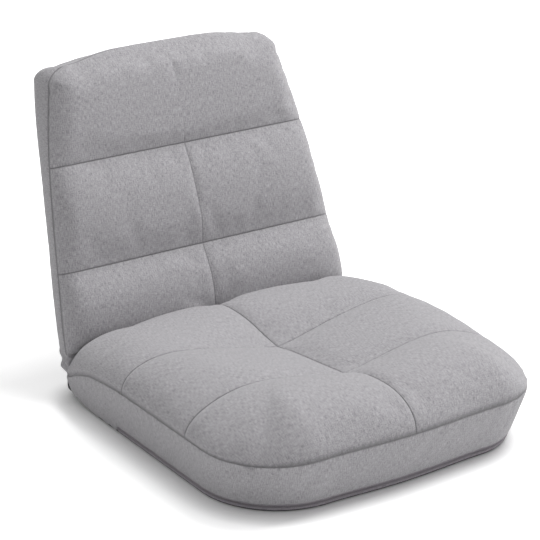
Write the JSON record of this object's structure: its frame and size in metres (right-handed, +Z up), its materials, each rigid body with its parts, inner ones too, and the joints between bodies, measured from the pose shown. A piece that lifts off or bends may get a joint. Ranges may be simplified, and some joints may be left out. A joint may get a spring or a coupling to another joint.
{
  "type": "folding floor chair",
  "caption": "Legless folding floor chair: a quilted fabric seat pad on the floor with a quilted backrest that reclines and folds on ratchet hinges.",
  "frame": {"origin": "centre of the seat's foot, on the floor", "axes": "+Z up, -Y towards the seat's front edge, X along the hinge"},
  "size_m": [0.5208, 0.6786, 0.4791],
  "materials": {
    "cover_fabric": "heathered linen-look weave",
    "underside_cloth": "matt non-woven",
    "foam": "open-cell foam",
    "frame_steel": "satin black",
    "hinge_steel": "zinc plated",
    "webbing": "woven elastic",
    "zip_tape": "woven tape",
    "zip_coil": "nylon coil",
    "zip_metal": "satin"
  },
  "bodies": {
    "seat": {"seat_base_cloth": "underside_cloth", "seat_boxing": "cover_fabric", "seat_foam_lower": "foam", "seat_foam_upper": "foam", "seat_pad_front": "cover_fabric", "seat_pad_middle": "cover_fabric", "seat_pad_rear": "cover_fabric", "seat_frame": "frame_steel", "seat_cross_tube": "frame_steel", "seat_frame_rivets": "hinge_steel", "crease_cloth_front": "cover_fabric", "crease_cloth_rear": "cover_fabric", "zip_tape": "zip_tape", "zip_coil": "zip_coil", "spring_posts": "hinge_steel", "hinge_cheek_inner_left": "hinge_steel", "hinge_cheek_outer_left": "hinge_steel", "hinge_pivot_left": "hinge_steel", "pawl_pin_left": "hinge_steel", "pawl_spring_left": "hinge_steel", "hinge_cheek_inner_right": "hinge_steel", "hinge_cheek_outer_right": "hinge_steel", "hinge_pivot_right": "hinge_steel", "pawl_pin_right": "hinge_steel", "pawl_spring_right": "hinge_steel"},
    "backrest": {"back_panel_cloth": "cover_fabric", "back_boxing": "cover_fabric", "back_foam_rear": "foam", "back_foam_front": "foam", "back_pad_lower": "cover_fabric", "back_pad_middle": "cover_fabric", "back_pad_top": "cover_fabric", "back_frame": "frame_steel", "back_cross_tube": "frame_steel", "back_frame_rivets": "hinge_steel", "back_webbing": "webbing", "back_arm_left": "hinge_steel", "back_arm_right": "hinge_steel"},
    "pawl_left": {"pawl_left": "hinge_steel"},
    "pawl_right": {"pawl_right": "hinge_steel"},
    "zip_slider": {"zip_slider": "zip_metal"},
    "zip_pull": {"zip_pull": "zip_metal"}
  },
  "joints": [
    {"name": "back_recline", "type": "hinge", "parent": "seat", "child": "backrest", "pos_m": [0, 0.248, 0.048], "axis": [1, 0, 0], "range_deg": [-72, 72], "deforming": ["seat_pad_rear", "back_pad_lower", "crease_cloth_front", "crease_cloth_rear"]},
    {"name": "pawl_swing_left", "type": "hinge", "parent": "seat", "child": "pawl_left", "pos_m": [-0.226, 0.223, 0.0265], "axis": [1, 0, 0], "range_deg": [0, 6.5], "stiffness_Nm_per_rad": 0.05, "springref_deg": 6.5},
    {"name": "pawl_swing_right", "type": "hinge", "parent": "seat", "child": "pawl_right", "pos_m": [0.226, 0.223, 0.0265], "axis": [1, 0, 0], "range_deg": [0, 6.5], "stiffness_Nm_per_rad": 0.05, "springref_deg": 6.5},
    {"name": "zip_run", "type": "slide", "parent": "seat", "child": "zip_slider", "axis": [0, -1, 0], "range_m": [0, 0.2]},
    {"name": "pull_swing", "type": "hinge", "parent": "zip_slider", "child": "zip_pull", "pos_m": [0.24837, 0.097, 0.00746], "axis": [-0.2439, 0, -0.9698], "range_deg": [0, 150]}
  ]
}
